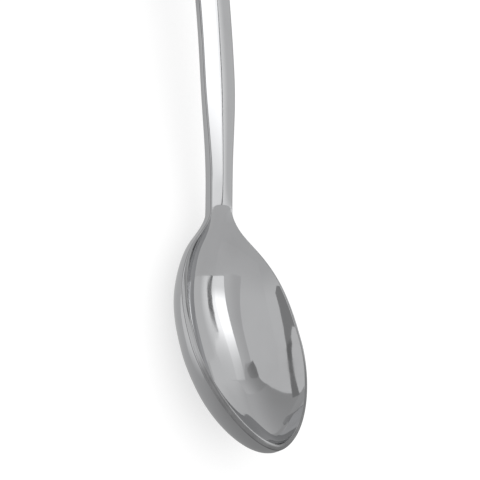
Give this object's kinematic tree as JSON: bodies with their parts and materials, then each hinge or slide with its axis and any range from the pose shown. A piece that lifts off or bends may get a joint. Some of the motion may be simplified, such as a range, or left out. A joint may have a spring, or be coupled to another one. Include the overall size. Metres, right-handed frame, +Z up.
{
  "type": "table spoon",
  "caption": "Steel table spoon with a leaf-shaped bowl, a raised rim, a slim neck and a plain arched handle, for eating and serving.",
  "frame": {"origin": "on the table, in the middle of the spoon's length and width", "axes": "+X from the bowl's tip to the handle's end, +Y to the side, +Z up, with the hollow facing up"},
  "size_m": [0.2006, 0.044, 0.0191],
  "materials": {
    "polished_steel": "mirror-polished stainless steel with fine wear"
  },
  "bodies": {
    "root": {"bowl": "polished_steel", "neck": "polished_steel", "stem": "polished_steel", "handle_end": "polished_steel"}
  },
  "joints": []
}
